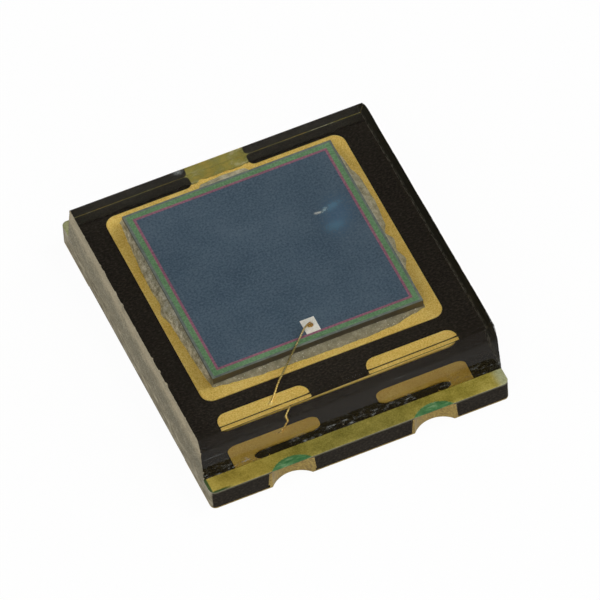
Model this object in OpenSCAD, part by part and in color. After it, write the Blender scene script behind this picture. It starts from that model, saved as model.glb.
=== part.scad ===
// Surface-mount photodiode: a silicon chip on a black laminate board, under a clear moulding.
// Millimetres. X runs along the notched ends, Y from the anode end to the cathode end, Z up.
// The origin is in the middle of the underside.

/* [Chip] */
// Width of the chip along X
chip_w = 3.0; // [1.5:0.05:4.5]
// Length of the chip along Y
chip_l = 3.0; // [1.5:0.05:4.5]
// Thickness of the chip
chip_t = 0.22; // [0.12:0.01:0.3]
// Bare sawn street round the chip's edge
street_w = 0.035; // [0.02:0.005:0.08]
// Width of the oxide frame
frame_w = 0.07; // [0.03:0.005:0.12]
// Width of the ring at the edge of the sensitive area
ring_w = 0.035; // [0.02:0.005:0.1]
// Thickness of the films on the chip
film_t = 0.005; // [0.003:0.001:0.01]

/* [Bond pad and wire] */
// Width of the bond pad along X
bond_w = 0.2; // [0.12:0.01:0.4]
// Length of the bond pad along Y
bond_l = 0.24; // [0.12:0.01:0.4]
// Thickness of the bond pad's metal
bond_t = 0.008; // [0.006:0.001:0.015]
// Diameter of the bond wire
wire_d = 0.027; // [0.018:0.001:0.04]
// Diameter of the flattened ball on the bond pad
ball_d = 0.085; // [0.06:0.005:0.11]
// Height of the flattened ball
ball_h = 0.024; // [0.015:0.001:0.04]
// Highest point of the wire's centre line above the bond pad
loop_h = 0.13; // [0.1:0.01:0.25]
// Bend radius at the top of the loop
bend_r = 0.045; // [0.03:0.005:0.07]
// Bend radius where the wire runs out on the finger
foot_r = 0.06; // [0.03:0.005:0.12]
// Diameter of the flattened stitch
stitch_d = 0.07; // [0.05:0.005:0.1]
// Thickness of the flattened stitch
stitch_t = 0.012; // [0.008:0.001:0.02]
// Stitch from the middle of its finger, towards the centre line
stitch_x = 0.14; // [-0.4:0.02:0.4]
// Stitch from the inner edge of its finger
stitch_y = 0.09; // [0.06:0.01:0.2]

/* [Die attach] */
// Thickness of the adhesive under the chip
attach_t = 0.025; // [0.01:0.005:0.05]
// Plain rim of adhesive round the chip
attach_rim = 0.03; // [0.01:0.005:0.06]

/* [Tracks] */
// Thickness of the plated copper, above and below the board
copper_t = 0.02; // [0.012:0.002:0.04]
// Die pad beyond the chip at the two sides
pad_side = 0.215; // [0.15:0.005:0.4]
// Die pad beyond the chip at the anode end
pad_front = 0.23; // [0.15:0.005:0.4]
// Die pad beyond the chip at the cathode end
pad_rear = 0.165; // [0.15:0.005:0.4]
// Corner radius of the die pad
pad_r = 0.16; // [0.05:0.01:0.3]
// Gap between the die pad and the fingers
finger_gap = 0.245; // [0.1:0.005:0.4]
// Length of a finger along X
finger_w = 1.28; // [0.9:0.02:1.4]
// Width of a finger along Y
finger_l = 0.39; // [0.3:0.01:0.6]
// End radius of a finger
finger_r = 0.14; // [0.04:0.01:0.145]
// Slot between the fingers and the anode strip
front_slot = 0.26; // [0.15:0.01:0.4]
// Width of the neck that joins a finger to the anode strip
finger_neck_w = 0.3; // [0.15:0.01:0.45]
// Slot between the die pad and the cathode strip
rear_slot = 0.17; // [0.1:0.01:0.3]
// Width of the neck that joins the die pad to the cathode strip
rear_neck_w = 0.83; // [0.3:0.01:1.5]
// Reach of the two strips in under the moulding
strip_foot = 0.02; // [0.01:0.005:0.06]
// Strips' distance from the board's edges
strip_inset = 0.04; // [0.02:0.005:0.1]
// Corner radius of the strips
strip_r = 0.1; // [0.03:0.01:0.11]
// Shift of the copper pattern from the middle of the sawn width
pattern_x = 0.033; // [-0.1:0.001:0.1]

/* [Board] */
// Thickness of the laminate core
core_t = 0.28; // [0.15:0.01:0.6]
// Board beyond the die pad at the two sides
board_side = 0.405; // [0.3:0.005:0.8]
// Ledge beyond the moulding at the two ends
ledge_l = 0.25; // [0.22:0.01:0.5]
// Corner radius of the board
corner_r = 0.08; // [0.02:0.01:0.12]
// Fingers' outer ends from the board's sides
finger_side = 0.425; // [0.3:0.005:0.6]

/* [Notches and lands] */
// Diameter of the plated notches
notch_d = 0.75; // [0.6:0.01:0.9]
// Depth of the notches, from the board's end
notch_depth = 0.13; // [0.08:0.01:0.17]
// Distance between the two notches of an end
notch_pitch = 2.02; // [1.4:0.02:2.4]
// Thickness of the notches' plating
plating_t = 0.03; // [0.015:0.005:0.04]
// Length of the underside lands along Y
land_l = 0.9; // [0.5:0.05:1.6]

/* [Solder resist] */
// Thickness of the resist over the copper
resist_t = 0.015; // [0.01:0.001:0.03]
// Reach of the resist in under the moulding, mean of the two ends
resist_foot = 0.045; // [0.04:0.005:0.08]
// Shift of the resist towards the cathode end
resist_shift = -0.035; // [-0.035:0.005:0.035]

/* [Moulding] */
// Height of the package above the surface it is soldered to
package_h = 1.05; // [0.95:0.01:1.6]
// Draft angle of the cathode end's wall
draft = 12; // [3:0.5:20]
// Radius of the cathode end's top edge
edge_r = 0.03; // [0.03:0.01:0.15]
// Draft angle of the anode end's wall, lower part
front_draft = 6; // [2:0.5:12]
// Height of the lower part of the anode end's wall
front_lower_h = 0.5; // [0.3:0.01:0.55]
// Draft angle of the anode end's wall, upper part
front_slope = 18.5; // [8:0.5:30]
// Radius of the anode end's top edge
front_edge_r = 0.022; // [0.015:0.001:0.05]

/* [Hidden] */
$fn = 48;
// Overlap of shapes that are joined into one piece
lap = 0.01;

// Heights, from the underside up
core_z = copper_t;
board_top = core_z+core_t;
track_top = board_top+copper_t;
resist_top = track_top+resist_t;
chip_z = track_top+attach_t;
chip_top = chip_z+chip_t;
bond_top = chip_top+bond_t;

// Plan: widths along X
pad_w = chip_w+2*pad_side;
board_w = pad_w+2*board_side;
finger_x = board_w/2-finger_side-finger_w/2;

// Plan: the row of edges along Y, from the anode end to the cathode end
pad_l = pad_front+chip_l+pad_rear;
board_l = 2*(ledge_l+strip_foot)+front_slot+finger_l+finger_gap+pad_l+rear_slot;
wall_y = board_l/2-ledge_l;
strip_y = wall_y-strip_foot;
finger_front = -strip_y+front_slot;
finger_rear = finger_front+finger_l;
pad_y = finger_rear+finger_gap;
pad_end = pad_y+pad_l;
chip_y = pad_y+pad_front+chip_l/2;
notch_y = board_l/2+notch_d/2-notch_depth;

// Chip: the insets of its films, and the bond pad that meets the ring
ring_in = street_w+frame_w;
window_in = ring_in+ring_w;
bond_y = chip_y-chip_l/2+window_in+bond_l/2;

// Wire: the ball and the stitch in plan, and the loop in its own upright plane
stitch = [pattern_x-finger_x+stitch_x, finger_rear-stitch_y];
run = norm(stitch-[pattern_x, bond_y]);
heading = atan2(stitch[1]-bond_y, stitch[0]-pattern_x);
bend_z = bond_top+loop_h-bend_r;
foot_z = track_top+wire_d/2+foot_r;
fall = asin((bend_r+foot_r)/norm([run-bend_r, bend_z-foot_z]))+atan2(bend_z-foot_z, run-bend_r);
fall_start = [bend_r*(1+sin(fall)), bend_z+bend_r*cos(fall)];
fall_end = [run-foot_r*sin(fall), foot_z-foot_r*cos(fall)];

// Moulding: centres of the top edges' radii, and the break in the anode end's wall
edge_z = package_h-edge_r;
edge_y = wall_y-(edge_z-resist_top)*tan(draft)-edge_r/cos(draft);
break_z = resist_top+front_lower_h;
break_y = wall_y-front_lower_h*tan(front_draft);
front_edge_z = package_h-front_edge_r;
front_edge_y = break_y-(front_edge_z-break_z)*tan(front_slope)-front_edge_r/cos(front_slope);

// Squeezed-out lobes of the adhesive: place on the chip as a share of its half width and length, and radius
ATTACH_LOBES = [
    [-0.45, -0.74, 0.5], [0.03, -0.69, 0.6], [0.51, -0.75, 0.5],
    [0.5, 0.27, 0.9], [0.98, -0.24, 0.16], [0.94, -0.43, 0.2],
    [-0.545, 0.44, 0.8], [-0.985, -0.1, 0.17], [-0.6, -0.5, 0.7],
    [-0.01, 0.865, 0.35], [-0.42, 0.785, 0.4]];

// A layer of the flat shapes given, from height z and t thick
module layer(z, t) {
    translate([0, 0, z]) linear_extrude(t) children();
}

// Rectangle centred on the origin with round corners
module rounded(w, l, r) {
    square([w-2*r, l], center = true);
    square([w, l-2*r], center = true);
    for (x = [-1, 1], y = [-1, 1]) {
        translate([x*(w/2-r), y*(l/2-r)]) circle(r);
    }
}

// Bridge of width w over a slot of width s that starts at y = 0; the slot ends round at its left and right
module neck(w, s, round_left, round_right) {
    left = w/2+(round_left ? s/2 : 0);
    right = w/2+(round_right ? s/2 : 0);
    difference() {
        translate([-left, -lap]) square([left+right, s+2*lap]);
        if (round_left) translate([-left, s/2]) circle(d = s);
        if (round_right) translate([right, s/2]) circle(d = s);
    }
}

// Circles of the two notches at an end: -1 is the anode end, 1 the cathode end
module notches(end, r) {
    for (side = [-1, 1]) {
        translate([pattern_x+side*notch_pitch/2, end*notch_y]) circle(r);
    }
}

module board_outline() {
    rounded(board_w, board_l, corner_r);
}

// Everything of the plan from a distance y off the middle to past the board's end
module end_zone(end, y) {
    translate([-board_w, end > 0 ? y : -y-board_l]) square([2*board_w, board_l]);
}

// Strip of copper along an end, with its notches
module strip(end) {
    difference() {
        translate([0, end*(strip_y+board_l/2-strip_inset)/2])
            rounded(board_w-2*strip_inset, board_l/2-strip_inset-strip_y, strip_r);
        notches(end, notch_d/2);
    }
}

module board() {
    color([0.06, 0.055, 0.05]) layer(core_z, core_t) difference() {
        board_outline();
        for (end = [-1, 1]) {
            notches(end, notch_d/2+plating_t);
        }
    }
}

module cathode_plan() {
    translate([pattern_x, pad_y+pad_l/2]) rounded(pad_w, pad_l, pad_r);
    translate([pattern_x, pad_end]) neck(rear_neck_w, rear_slot, true, true);
    strip(1);
}

module anode_plan() {
    for (side = [-1, 1]) {
        translate([pattern_x+side*finger_x, (finger_front+finger_rear)/2])
            rounded(finger_w, finger_l, finger_r);
        translate([pattern_x+side*(finger_x+(finger_w-finger_neck_w)/2), -strip_y]) {
            neck(finger_neck_w, front_slot, side > 0, side < 0);
            translate([-finger_neck_w/2, 0]) square([finger_neck_w, front_slot+finger_l/2]);
        }
    }
    strip(-1);
}

module cathode_track() {
    color([0.8, 0.62, 0.28]) layer(board_top, copper_t) cathode_plan();
}

module anode_track() {
    color([0.8, 0.62, 0.28]) layer(board_top, copper_t) anode_plan();
}

// Underside land of an end and the plating of its notches
module terminal(end) {
    layer(0, copper_t) difference() {
        intersection() {
            board_outline();
            end_zone(end, board_l/2-land_l);
        }
        notches(end, notch_d/2);
    }
    layer(0, board_top) difference() {
        intersection() {
            board_outline();
            notches(end, notch_d/2+plating_t);
        }
        notches(end, notch_d/2);
    }
}

module cathode_terminal() {
    color([0.78, 0.55, 0.3]) terminal(1);
}

module anode_terminal() {
    color([0.78, 0.55, 0.3]) terminal(-1);
}

// The ledge of an end and what the resist reaches of the plan under the moulding
module resist_zone(end) {
    end_zone(end, wall_y-resist_foot+end*resist_shift);
}

// Resist of an end: it levels out round the copper and spans the notches
module resist(end) {
    difference() {
        layer(board_top, copper_t+resist_t) intersection() {
            board_outline();
            resist_zone(end);
        }
        layer(board_top-lap, copper_t+lap) {
            notches(end, notch_d/2);
            if (end > 0) cathode_plan();
            else anode_plan();
        }
    }
}

module solder_resist_front() {
    color([0.3, 0.5, 0.25, 0.6]) resist(-1);
}

module solder_resist_rear() {
    color([0.3, 0.5, 0.25, 0.6]) resist(1);
}

// Rectangle on the chip at a distance in from its edges
module chip_rect(inset) {
    translate([pattern_x, chip_y]) square([chip_w-2*inset, chip_l-2*inset], center = true);
}

module bond_rect() {
    translate([pattern_x, bond_y]) square([bond_w, bond_l], center = true);
}

module attach_plan() {
    translate([pattern_x, chip_y]) {
        rounded(chip_w+2*attach_rim, chip_l+2*attach_rim, attach_rim);
        for (lobe = ATTACH_LOBES) {
            translate([lobe[0]*chip_w/2, lobe[1]*chip_l/2]) circle(lobe[2]);
        }
    }
}

module die_attach() {
    color([0.55, 0.54, 0.5]) layer(track_top, attach_t) attach_plan();
}

module chip() {
    color([0.3, 0.32, 0.34]) layer(chip_z, chip_t) chip_rect(0);
}

module oxide_frame() {
    color([0.25, 0.45, 0.3]) layer(chip_top, film_t) difference() {
        chip_rect(street_w);
        chip_rect(ring_in);
    }
}

module edge_ring() {
    color([0.5, 0.25, 0.38]) layer(chip_top, film_t) difference() {
        chip_rect(ring_in);
        chip_rect(window_in);
    }
}

module window_film() {
    color([0.2, 0.27, 0.34]) layer(chip_top, film_t) difference() {
        chip_rect(window_in);
        bond_rect();
    }
}

module bond_pad() {
    color([0.85, 0.85, 0.84]) layer(chip_top, bond_t) bond_rect();
}

// Arc of the wire in the plane of its loop, from an angle and through a sweep
module wire_arc(u, z, r, from, sweep) {
    translate([u, 0, z]) rotate([90, 0, 0]) rotate([0, 0, from])
        rotate_extrude(angle = sweep) translate([r, 0]) circle(d = wire_d);
}

// The wire with its ball and stitch; root is how far these two go on below the faces that they sit on
module wire_shape(root) {
    translate([pattern_x, bond_y]) rotate([0, 0, heading]) {
        translate([0, 0, bond_top]) rotate_extrude() {
            translate([0, -root]) square([(ball_d-ball_h)/2, ball_h+root]);
            intersection() {
                translate([(ball_d-ball_h)/2, ball_h/2]) circle(d = ball_h);
                square([ball_d, ball_h]);
            }
        }
        translate([0, 0, bond_top+ball_h/2]) cylinder(h = bend_z-bond_top-ball_h/2, d = wire_d);
        wire_arc(bend_r, bend_z, bend_r, 90-fall, 90+fall);
        translate([fall_start[0], 0, fall_start[1]]) rotate([0, 90+fall, 0])
            cylinder(h = norm(fall_end-fall_start), d = wire_d);
        wire_arc(run, foot_z, foot_r, 270-fall, fall);
        translate([run, 0, track_top-root]) cylinder(h = stitch_t+root, d = stitch_d);
    }
}

module bond_wire() {
    color([0.85, 0.66, 0.3]) wire_shape(0);
}

// Cross-section of the moulding in Y and Z: drafted end walls, a break in the front one, round top edges
module moulding_section() {
    foot_y = wall_y+(resist_top-board_top)*tan(draft);
    side_y = edge_y+edge_r*cos(draft);
    side_z = edge_z+edge_r*sin(draft);
    front_foot_y = wall_y+(resist_top-board_top)*tan(front_draft);
    front_side_y = front_edge_y+front_edge_r*cos(front_slope);
    front_side_z = front_edge_z+front_edge_r*sin(front_slope);
    polygon([[-front_foot_y, board_top], [foot_y, board_top], [side_y, side_z], [edge_y, package_h],
        [-front_edge_y, package_h], [-front_side_y, front_side_z], [-break_y, break_z]]);
    translate([edge_y, edge_z]) circle(edge_r);
    translate([-front_edge_y, front_edge_z]) circle(front_edge_r);
}

// All that the moulding is cast round: each pocket starts below the board's top and ends at its piece's top
module cast_in() {
    base = board_top-lap;
    layer(base, track_top-base) {
        cathode_plan();
        anode_plan();
    }
    for (end = [-1, 1]) {
        layer(base, resist_top-base) resist_zone(end);
    }
    layer(base, chip_z-base) attach_plan();
    layer(base, chip_top-base) chip_rect(0);
    layer(base, chip_top+film_t-base) chip_rect(street_w);
    layer(base, bond_top-base) bond_rect();
    wire_shape(copper_t/2);
}

module moulding() {
    color([0.85, 0.88, 0.9, 0.3]) difference() {
        rotate([90, 0, 90]) linear_extrude(board_w, center = true) moulding_section();
        cast_in();
    }
}

board();
cathode_track();
anode_track();
cathode_terminal();
anode_terminal();
solder_resist_front();
solder_resist_rear();
die_attach();
chip();
oxide_frame();
edge_ring();
window_film();
bond_pad();
bond_wire();
moulding();
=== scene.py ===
"""Looks of the photodiode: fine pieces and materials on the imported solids, a pale studio and the camera."""
import math

import bmesh
import bpy
from mathutils import Matrix, Vector, noise

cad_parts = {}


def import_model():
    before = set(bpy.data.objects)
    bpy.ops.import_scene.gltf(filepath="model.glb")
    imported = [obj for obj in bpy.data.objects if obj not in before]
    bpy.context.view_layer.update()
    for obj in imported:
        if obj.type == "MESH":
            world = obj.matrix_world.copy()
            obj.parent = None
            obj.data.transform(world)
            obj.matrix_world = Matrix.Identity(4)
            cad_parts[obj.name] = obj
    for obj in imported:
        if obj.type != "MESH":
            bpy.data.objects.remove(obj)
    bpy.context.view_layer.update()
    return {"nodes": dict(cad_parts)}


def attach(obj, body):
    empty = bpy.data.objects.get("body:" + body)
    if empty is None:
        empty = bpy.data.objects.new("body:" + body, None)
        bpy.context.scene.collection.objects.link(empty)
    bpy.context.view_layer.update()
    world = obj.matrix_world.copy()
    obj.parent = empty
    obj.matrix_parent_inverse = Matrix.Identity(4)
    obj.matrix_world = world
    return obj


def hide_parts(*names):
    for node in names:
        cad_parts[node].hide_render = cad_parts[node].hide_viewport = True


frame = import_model()
nodes = frame["nodes"]

# Sizes in millimetres, as in the part's source
MM = 0.001
BOARD_W, BOARD_L, CORNER_R = 4.24, 5.0, 0.08
CORE_Z, BOARD_TOP, TRACK_TOP, RESIST_TOP = 0.02, 0.30, 0.32, 0.335
CHIP_TOP, BOND_TOP, HEIGHT = 0.565, 0.573, 1.05
WALL_Y, DRAFT, EDGE_R = 2.25, math.radians(12), 0.03
FRONT_DRAFT, FRONT_SLOPE, FRONT_EDGE_R = math.radians(6), math.radians(21), 0.015
PATTERN_X, CHIP_Y, CHIP_HALF, BOND_Y = 0.033, 0.395, 1.5, -0.845
NOTCH_R, NOTCH_Y, NOTCH_PITCH, PLATING = 0.375, 2.745, 2.02, 0.03
LAND_L, STRIP_INSET, STRIP_FOOT = 0.9, 0.04, 0.02
STRIP_SEEN, RESIST_IN = {-1: 0.007, 1: 0.0018}, {-1: 2.24, 1: 2.11}
NECKS = {-1: [(PATTERN_X - 1.055, 0.15), (PATTERN_X + 1.055, 0.15)], 1: [(PATTERN_X, 0.415)]}
STITCH = (-0.882, -1.67)
WIRE_R, BALL_H, LOOP_H, BEND_R, FOOT_R = 0.0135, 0.024, 0.13, 0.045, 0.06

# Sizes that only the looks have: the wire's sway, the front wall's eased bend and skew, the top's crease,
# the slots' round ends, the saw marks, and how deep a piece is set into the one below
SWAY, SWAY_START, SWAY_END = 0.03, 0.14, 0.3
BEND_LOW, BEND_HIGH, FRONT_SKEW, SKEW_X = 0.84, 0.93, 0.025, -0.38
CREASE_IN, CREASE_HALF, CREASE_DEPTH = 0.052, 0.012, 0.012
SLOT_R = 0.06
SAW_DEPTH, SAW_FADE = 0.0035, 0.08
SINK, BLOCK_SINK = 0.003, 0.005

# Sawn edges of the moulding: a place on one is counted along the top, or up the front or the rear end
TOP_RUN, END_RUN, FRONT_START, REAR_START = 4.4, 2.0, 5, 9
EDGE_BREAK, EDGE_WAVE, CHIP_SHARE = 0.005, 0.004, 0.8
CHIPPING = {-1: 0.035, 1: 0.015}
# Worn corners of a side: depth, length, and the two places that meet there
WORN = {-1: [], 1: [(0.024, 0.4, (0.0, END_RUN * HEIGHT + FRONT_START)),
                    (0.03, 0.16, (TOP_RUN, END_RUN * HEIGHT + REAR_START))]}
# Material numbers of the moulding's faces
CLEAR, SAWN = 0, 1


# Shapes

def perlin(x, y, z=0.0):
    """Smooth noise from about -1 to 1."""
    return noise.noise(Vector((x, y, z)))


def rough(x, y, z=0.0):
    """Layered noise from about -1 to 1."""
    return noise.fractal(Vector((x, y, z)), 0.8, 2.0, 4)


def spread(low, high, steps):
    """Evenly spaced numbers from low to high."""
    return [low + (high - low) * i / steps for i in range(steps + 1)]


def thinned(values, least):
    """Values in order, without those that follow another too closely."""
    kept = []
    for value in sorted(values):
        if not kept or value - kept[-1] > least:
            kept.append(value)
    return kept


def band(a, b):
    """Faces between two closed rings of point numbers."""
    return [(a[i], a[n], b[n], b[i]) for i, n in enumerate([*range(1, len(a)), 0])]


def skin(rings):
    """Faces through a row of rings, with a lid at each end."""
    faces = []
    for a, b in zip(rings, rings[1:]):
        faces += band(a, b)
    return faces + [tuple(rings[0]), tuple(rings[-1])]


def piece(name, points, faces, stands_for=(), kinds=None, sharp=(), smooth=True):
    """A mesh object from points in millimetres; kinds gives the material number of each face."""
    mesh = bpy.data.meshes.new(name)
    mesh.from_pydata([(x * MM, y * MM, z * MM) for x, y, z in points], [], faces)
    if kinds is not None:
        mesh.polygons.foreach_set("material_index", kinds)
    made = bmesh.new()
    made.from_mesh(mesh)
    bmesh.ops.recalc_face_normals(made, faces=made.faces)
    for face in made.faces:
        face.smooth = smooth
    marked = {frozenset(pair) for pair in sharp}
    for edge in made.edges:
        if frozenset((edge.verts[0].index, edge.verts[1].index)) in marked:
            edge.smooth = False
    made.to_mesh(mesh)
    made.free()
    obj = bpy.data.objects.new(name, mesh)
    bpy.context.scene.collection.objects.link(obj)
    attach(obj, "root")
    if stands_for:
        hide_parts(*stands_for)
    return obj


def sharpen(obj, degrees):
    """Marks the edges of a smooth mesh that turn by more than an angle."""
    made = bmesh.new()
    made.from_mesh(obj.data)
    for edge in made.edges:
        if len(edge.link_faces) == 2 and edge.calc_face_angle() > math.radians(degrees):
            edge.smooth = False
    made.to_mesh(obj.data)
    made.free()


def rounded_wall(z, foot_y, foot_z, slope, radius):
    """Distance from the middle of a leaning wall with a round top edge, at a height."""
    edge_z = HEIGHT - radius
    edge_y = foot_y - (edge_z - foot_z) * math.tan(slope) - radius / math.cos(slope)
    if z <= edge_z + radius * math.sin(slope):
        return foot_y - (z - foot_z) * math.tan(slope)
    return edge_y + math.sqrt(max(0.0, radius ** 2 - (z - edge_z) ** 2))


def wall_at(end, side, z):
    """Y of the moulding's end wall at a height, on a side; the front wall's break is eased."""
    if end > 0:
        return rounded_wall(z, WALL_Y, RESIST_TOP, DRAFT, EDGE_R)
    rate = (FRONT_SLOPE - FRONT_DRAFT) / (BEND_HIGH - BEND_LOW)
    turned = FRONT_DRAFT + rate * (min(max(z, BEND_LOW), BEND_HIGH) - BEND_LOW)
    eased = WALL_Y - (min(z, BEND_LOW) - RESIST_TOP) * math.tan(FRONT_DRAFT)
    eased -= math.log(math.cos(FRONT_DRAFT) / math.cos(turned)) / rate
    y = eased if z <= BEND_HIGH else rounded_wall(z, eased, BEND_HIGH, FRONT_SLOPE, FRONT_EDGE_R)
    lean = max(0.0, z - RESIST_TOP) / (HEIGHT - RESIST_TOP)
    return -(y - FRONT_SKEW * (side - SKEW_X) * lean)


def edge_chip(side, place):
    """How far the sawn edge of a side is broken back at a place along it."""
    chip = max(0.0, rough(place * 8.0, side * 7.0, 3.0) - 0.15) * CHIPPING[side]
    for depth, length, corner in WORN[side]:
        chip += depth * max(0.0, 1 - min(abs(place - spot) for spot in corner) / length) ** 2
    return EDGE_BREAK + EDGE_WAVE * abs(perlin(place * 30.0, side * 3.0)) + chip


def end_place(z, rear):
    """The place on a sawn edge at a height of the front or the rear end."""
    return z * END_RUN + (REAR_START if rear else FRONT_START)


def crease(far):
    """Depth of the fine groove along the top, at a distance from its front edge."""
    return CREASE_DEPTH * max(0.0, 1 - abs(far - CREASE_IN) / CREASE_HALF)


def moulding_heights():
    """Heights of the side grids' rows: close together in the front wall's bend and round the top edges."""
    low_rows, bend_rows, slope_rows, edge_rows = 24, 14, 8, 12
    base = BOARD_TOP - BLOCK_SINK
    heights = spread(base, BEND_LOW, low_rows) + spread(BEND_LOW, BEND_HIGH, bend_rows)
    edges = []
    for slope, radius in ((DRAFT, EDGE_R), (FRONT_SLOPE, FRONT_EDGE_R)):
        edges += [HEIGHT - radius + radius * math.sin(a) for a in spread(slope, math.pi / 2, edge_rows)]
    return thinned(heights + spread(BEND_HIGH, min(edges), slope_rows) + edges, 1e-5)


def make_moulding():
    """The clear block: flat top, drafted ends with round edges, and two sawn sides with broken edges."""
    steps, crease_steps = 280, 8
    heights = moulding_heights()
    base, rows = heights[0], len(heights) - 1
    front_y, rear_y = wall_at(-1, 0, HEIGHT), wall_at(1, 0, HEIGHT)
    creased = spread(CREASE_IN - CREASE_HALF, CREASE_IN + CREASE_HALF, crease_steps)
    marks = sorted(spread(0, 1, steps) + [far / (rear_y - front_y) for far in creased])
    columns = len(marks) - 1
    points, faces, kinds, sharp = [], [], [], []
    ring, start = {}, 0

    def at(k, j):
        """Number of a point of the present side, by its row and column."""
        return start + k * (columns + 1) + j

    for side in (-1, 1):
        start = len(points)
        for z in heights:
            front, rear = wall_at(-1, side, z), wall_at(1, side, z)
            for share in marks:
                top_chip = CHIP_SHARE * edge_chip(side, share * TOP_RUN)
                end_chip = CHIP_SHARE * edge_chip(side, end_place(z, share > 0.5))
                y = front + end_chip + (rear - front - 2 * end_chip) * share
                height = base + (z - base) * (HEIGHT - top_chip - base) / (HEIGHT - base)
                saw = SAW_DEPTH * (0.5 + rough(y * 1.5, height * 16.0, side * 5.0))
                saw *= min(1.0, (z - base) / SAW_FADE)
                points.append((side * (BOARD_W / 2 - max(0.0, saw)), y, height))
        for k in range(rows):
            for j in range(columns):
                faces.append((at(k, j), at(k, j + 1), at(k + 1, j + 1), at(k + 1, j)))
                kinds.append(SAWN)
        loop = [(k, 0) for k in range(rows)] + [(rows, j) for j in range(columns)]
        loop += [(k, columns) for k in range(rows, 0, -1)] + [(0, j) for j in range(columns, 0, -1)]
        rim = [at(k, j) for k, j in loop]
        ring[side] = []
        for k, j in loop:
            share, z = marks[j], heights[k]
            on_end = j in (0, columns) and k < rows
            place = end_place(z, share > 0.5) if on_end else share * TOP_RUN
            front, rear = wall_at(-1, side, z), wall_at(1, side, z)
            x, y = side * (BOARD_W / 2 - edge_chip(side, place)), front + (rear - front) * share
            groove = crease(share * (rear_y - front_y)) if k == rows else 0.0
            ring[side].append(len(points))
            points.append((x, y, z - groove))
        faces += band(rim, ring[side])
        kinds += [SAWN if side < 0 else CLEAR] * len(rim)
        sharp += zip(ring[side], ring[side][1:] + ring[side][:1])
    faces += band(ring[-1], ring[1])
    kinds += [CLEAR] * len(ring[1])
    return piece("moulding_clear", points, faces, ["moulding"], kinds, sharp)


def board_end(x):
    """Half the board's length at x, with its round corners."""
    over = abs(x) - (BOARD_W / 2 - CORNER_R)
    if over <= 0:
        return BOARD_L / 2
    return BOARD_L / 2 - CORNER_R + math.sqrt(max(0.0, CORNER_R ** 2 - over ** 2))


def notch_reach(x, radius):
    """How far from the middle the notches leave material at x, or None beside them."""
    for side in (-1, 1):
        off = x - PATTERN_X - side * NOTCH_PITCH / 2
        if abs(off) < radius:
            reach = NOTCH_Y - math.sqrt(radius ** 2 - off ** 2)
            if reach < BOARD_L / 2:
                return reach
    return None


def end_stations(radius):
    """Places along X for an end: evenly spread, with the corners and the lips of the notches hit exactly."""
    even_steps, corner_steps, lip_steps, closest = 160, 8, 24, 0.002
    half, quarter = BOARD_W / 2, math.pi / 2
    corner = [half - CORNER_R + CORNER_R * math.sin(a) for a in spread(0, quarter, corner_steps)]
    places = spread(-half, half, even_steps) + corner + [-c for c in corner]
    lip = math.sqrt(radius ** 2 - (NOTCH_Y - BOARD_L / 2) ** 2)
    for side in (-1, 1):
        middle = PATTERN_X + side * NOTCH_PITCH / 2
        places += [middle + lip * math.sin(a) for a in spread(-quarter, quarter, lip_steps)]
    return thinned(places, closest)


def make_resist(end, name, node):
    """Resist film of an end: level over strip and laminate, tented over the notches, with raw edges."""
    ripple, ragged, wave, sag, droop, droop_in, tent_rim = 0.0025, 0.03, 0.006, 0.004, 0.008, 0.03, 0.07
    stations, across = end_stations(NOTCH_R), 22
    points, faces = [], []

    def tent(x, y):
        """How far a place is over a notch, from 0 to 1."""
        near = min(math.hypot(x - PATTERN_X - s * NOTCH_PITCH / 2, y - NOTCH_Y) for s in (-1, 1))
        return max(0.0, min(1.0, (NOTCH_R - near) / tent_rim))

    for level in (1, 0):
        for x in stations:
            front = board_end(x)
            inner = RESIST_IN[end] + (ragged * rough(x * 7.0, 3.0) if end > 0 else 0.0)
            for i in range(across + 1):
                share = i / across
                y = inner + (front - inner) * share
                over = tent(x, y)
                inside = min(front - y, BOARD_W / 2 - abs(x))
                if level:
                    z = RESIST_TOP + ripple * rough(x * 6.0, y * 6.0, end * 2.0)
                    z += over * (wave * math.cos(share * 9.0) - sag)
                    z -= droop * max(0.0, 1 - inside / droop_in) ** 2
                elif over > 0:
                    z = TRACK_TOP - 0.002 + 0.003 * over
                else:
                    z = (BOARD_TOP if inside < STRIP_INSET else TRACK_TOP) - SINK
                points.append((x, end * y, z))
    size, last = across + 1, len(stations) - 1
    half = len(stations) * size
    for a in range(last):
        for p in range(a * size, a * size + across):
            faces.append((p, p + 1, p + size + 1, p + size))
            q = p + half
            faces.append((q, q + size, q + size + 1, q + 1))
        for p in (a * size, a * size + across):
            faces.append((p, p + size, p + size + half, p + half))
    for a in (0, last):
        for p in range(a * size, a * size + across):
            faces.append((p, p + 1, p + 1 + half, p + half))
    obj = piece(name, points, faces, [node])
    sharpen(obj, 40)
    return obj


def make_board():
    """Laminate core with the plated notches left out and faintly uneven sawn and routed sides."""
    side_steps, levels, bite_depth = 160, 12, 0.006
    radius = NOTCH_R + PLATING
    stations = end_stations(radius)
    outline = []
    for end in (-1, 1):
        row = []
        for x in stations:
            reach = notch_reach(x, radius)
            row.append((x, end * (board_end(x) if reach is None else reach)))
        outline += row if end < 0 else row[::-1]
    sides = []
    for i, (x, y) in enumerate(outline):
        sides.append((x, y))
        rise = outline[(i + 1) % len(outline)][1] - y
        if abs(rise) > 1:
            sides += [(x, y + rise * k / side_steps) for k in range(1, side_steps)]
    points, rings = [], []
    for k, z in enumerate(spread(CORE_Z, BOARD_TOP, levels)):
        rings.append(range(len(points), len(points) + len(sides)))
        for x, y in sides:
            on_side = abs(x) > BOARD_W / 2 - 0.001
            bite = bite_depth * max(0.0, rough(x * 9 + y * 9, z * 14.0, 1.0)) if 0 < k < levels else 0.0
            points.append((x - math.copysign(bite, x) if on_side else x,
                           y if on_side else y - math.copysign(bite, y), z))
    obj = piece("board_core", points, skin(rings), ["board"])
    sharpen(obj, 35)
    return obj


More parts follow.
